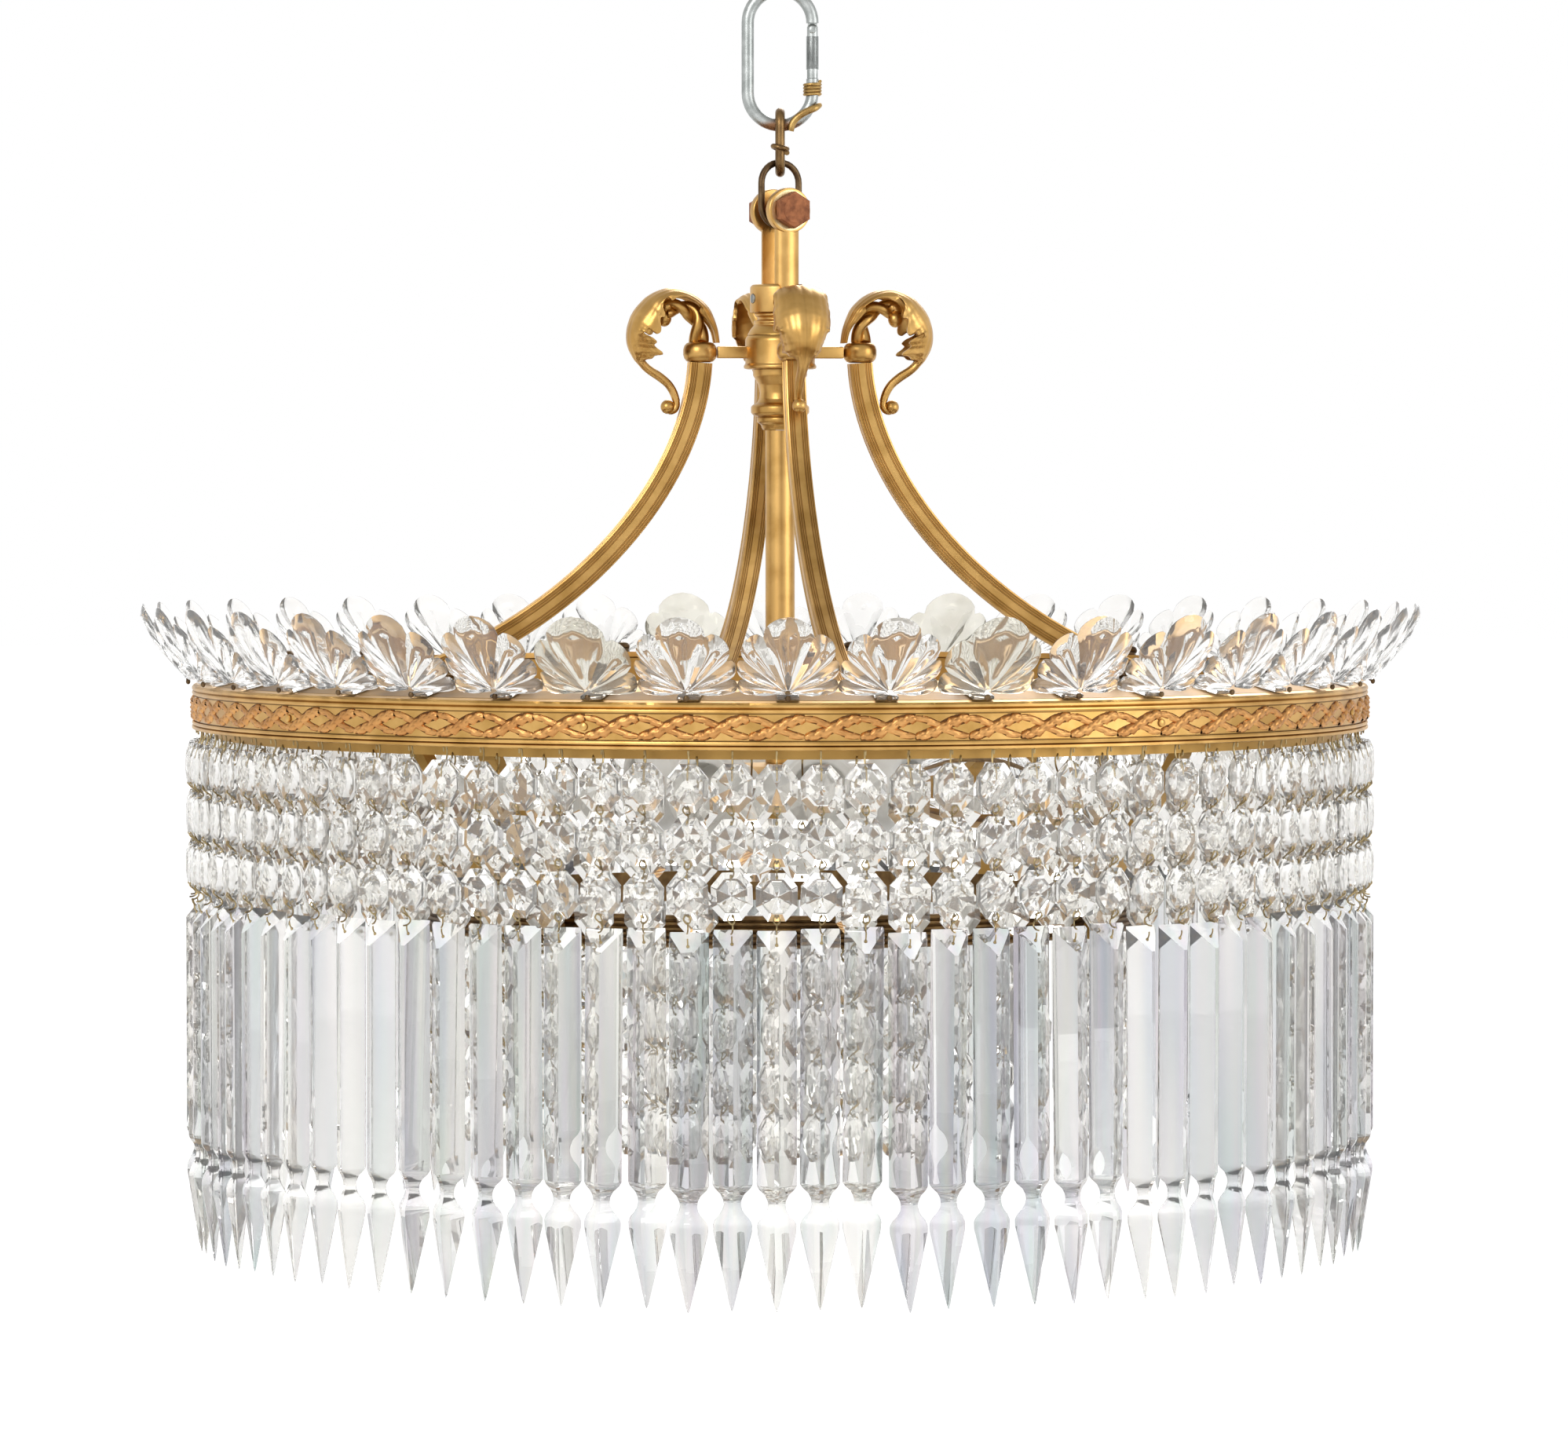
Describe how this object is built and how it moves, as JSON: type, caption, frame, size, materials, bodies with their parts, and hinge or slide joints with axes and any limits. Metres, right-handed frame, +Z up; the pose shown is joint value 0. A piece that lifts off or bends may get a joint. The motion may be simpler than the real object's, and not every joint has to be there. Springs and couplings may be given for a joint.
{
  "type": "crystal chandelier",
  "caption": "Round hanging chandelier: gilt ring on reeded arms and a turned stem, edged with pressed glass shells and hung with strands of octagons and spear prisms.",
  "frame": {"origin": "point on the inner top of the snap hook where it bears on the ceiling hook", "axes": "+Z up, the arms along X and Y, the front arm towards -Y"},
  "size_m": [0.6144, 0.6144, 0.5991],
  "materials": {
    "gilt_bronze": "satin gilt bronze, darker in the hollows",
    "copper_gilt": "gilt with a coppery tone",
    "aged_brass": "dull brass with brown stains",
    "dark_bronze": "dark brown patina",
    "zinc_steel": "dull zinc plate",
    "rusty_steel": "rusted steel",
    "lashing_wire": "brown wire",
    "crystal_wire": "tarnished brass wire",
    "crystal": "clear cut crystal",
    "pressed_glass": "clear pressed glass",
    "lamp_glass": "clear blown glass",
    "ceramic": "white glazed porcelain"
  },
  "bodies": {
    "hook": {"snap_hook_body": "zinc_steel", "nose_lashing": "lashing_wire"},
    "gate": {"snap_hook_gate": "zinc_steel", "gate_rivet": "zinc_steel"},
    "link": {"chain_link": "dark_bronze"},
    "ring": {"oval_ring": "dark_bronze"},
    "free_chain": {"swing_octagons": "crystal", "swing_wires": "crystal_wire"},
    "free_prism": {"swing_prism": "crystal"},
    "frame": {"arm_back": "gilt_bronze", "arm_collars": "gilt_bronze", "arm_foot_screws": "dark_bronze", "arm_front": "gilt_bronze", "arm_hub": "gilt_bronze", "arm_left": "gilt_bronze", "arm_right": "gilt_bronze", "bolt_nut": "rusty_steel", "centre_tube": "gilt_bronze", "collar_grub_screws": "zinc_steel", "eyed_post_back": "gilt_bronze", "eyed_post_front": "gilt_bronze", "frieze_band": "copper_gilt", "glass_shells": "pressed_glass", "hook_strip": "aged_brass", "lamp": "lamp_glass", "lamp_hub": "aged_brass", "lampholders": "ceramic", "lower_brackets": "aged_brass", "lower_chain_wires": "crystal_wire", "lower_octagons": "crystal", "lower_ring": "dark_bronze", "neck_turning": "gilt_bronze", "octagons_row_1": "crystal", "octagons_row_2": "crystal", "octagons_row_3": "crystal", "rim_casting": "gilt_bronze", "ring_floor": "aged_brass", "scroll_back": "gilt_bronze", "scroll_front": "gilt_bronze", "scroll_left": "gilt_bronze", "scroll_right": "gilt_bronze", "spear_prisms": "crystal", "stem_vase": "gilt_bronze", "strand_hooks": "crystal_wire", "strand_wires": "crystal_wire", "suspension_bolt": "rusty_steel", "suspension_collar": "gilt_bronze"}
  },
  "joints": [
    {"name": "gate_hinge", "type": "hinge", "parent": "hook", "child": "gate", "pos_m": [0.01518, -0.0026, -0.0158], "axis": [0.1685, 0.9857, 0], "range_deg": [0, 35], "stiffness_Nm_per_rad": 0.1, "springref_deg": -22.92},
    {"name": "link_swing", "type": "hinge", "parent": "hook", "child": "link", "pos_m": [0, 0, -0.06115], "axis": [0.9857, -0.1685, 0], "range_deg": [-20, 20]},
    {"name": "ring_swing", "type": "hinge", "parent": "link", "child": "ring", "pos_m": [0, 0, -0.0835], "axis": [0.1685, 0.9857, 0], "range_deg": [-20, 20]},
    {"name": "bolt_swing", "type": "hinge", "parent": "ring", "child": "frame", "pos_m": [0, 0, -0.10195], "axis": [0.2639, -0.9646, 0], "range_deg": [-15, 15]},
    {"name": "chain_swing", "type": "hinge", "parent": "frame", "child": "free_chain", "pos_m": [-0.0481, -0.27279, -0.3533], "axis": [0.9848, -0.1736, 0], "range_deg": [-15, 15]},
    {"name": "prism_swing", "type": "hinge", "parent": "free_chain", "child": "free_prism", "pos_m": [-0.0481, -0.27279, -0.42911], "axis": [0.9848, -0.1736, 0], "range_deg": [-15, 15]}
  ]
}
